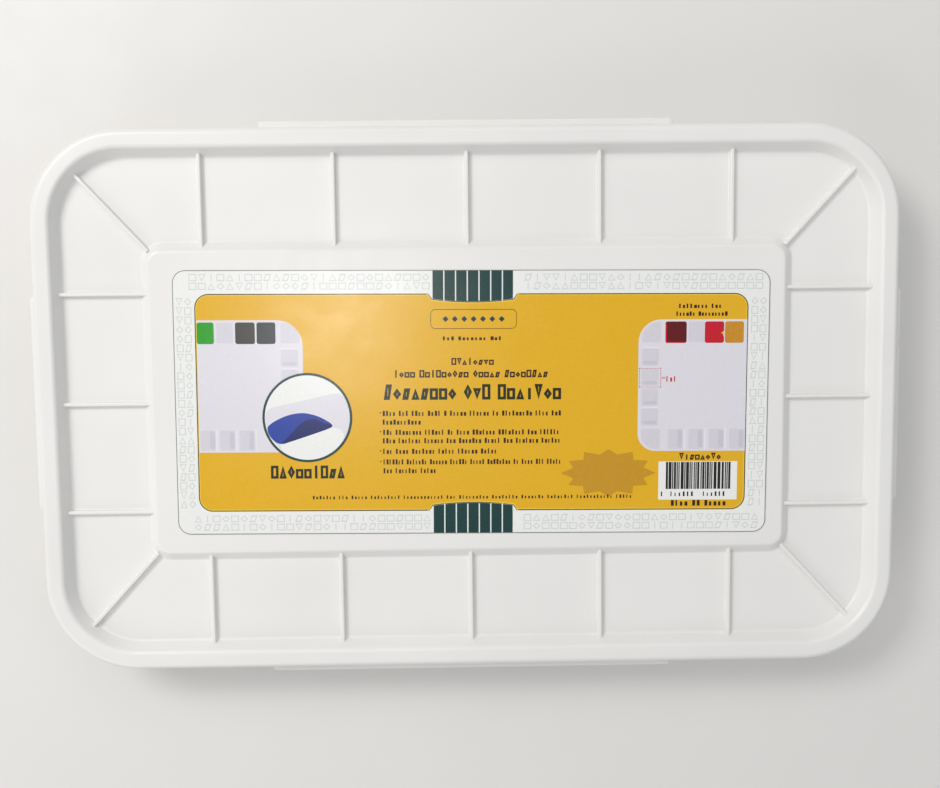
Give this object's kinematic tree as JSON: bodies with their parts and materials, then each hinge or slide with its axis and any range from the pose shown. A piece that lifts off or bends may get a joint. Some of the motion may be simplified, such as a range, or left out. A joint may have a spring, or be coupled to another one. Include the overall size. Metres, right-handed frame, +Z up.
{
  "type": "wet palette",
  "caption": "Flat lidded paint palette: a tray with a ring of pans round a mixing surface, under a lift-off airtight lid with shallow ribbed wells.",
  "frame": {"origin": "centre of the face that the tray stands on, at the middle of the outline", "axes": "+X along the long side, +Y along the short side towards the top edge of the label, +Z up, the way the lid lifts off"},
  "size_m": [0.441, 0.2806, 0.035],
  "materials": {
    "white_plastic": "satin white moulded plastic",
    "silicone": "milky silicone rubber",
    "printed_card": "glossy printed card"
  },
  "bodies": {
    "tray": {"base_tray": "white_plastic", "pan_front_1": "white_plastic", "pan_front_2": "white_plastic", "pan_front_3": "white_plastic", "pan_front_4": "white_plastic", "pan_front_5": "white_plastic", "pan_front_6": "white_plastic", "pan_front_7": "white_plastic", "pan_front_8": "white_plastic", "pan_corner_front_left": "white_plastic", "pan_corner_front_right": "white_plastic", "pan_back_1": "white_plastic", "pan_back_2": "white_plastic", "pan_back_3": "white_plastic", "pan_back_4": "white_plastic", "pan_back_5": "white_plastic", "pan_back_6": "white_plastic", "pan_back_7": "white_plastic", "pan_back_8": "white_plastic", "pan_corner_back_left": "white_plastic", "pan_corner_back_right": "white_plastic", "pan_left_1": "white_plastic", "pan_left_2": "white_plastic", "pan_left_3": "white_plastic", "pan_left_4": "white_plastic", "pan_right_1": "white_plastic", "pan_right_2": "white_plastic", "pan_right_3": "white_plastic", "pan_right_4": "white_plastic"},
    "lid": {"lid": "white_plastic", "lid_gasket": "silicone", "label_card": "printed_card"}
  },
  "joints": [
    {"name": "lid_lift", "type": "slide", "parent": "tray", "child": "lid", "axis": [0, 0, 1], "range_m": [0, 0.12]}
  ]
}
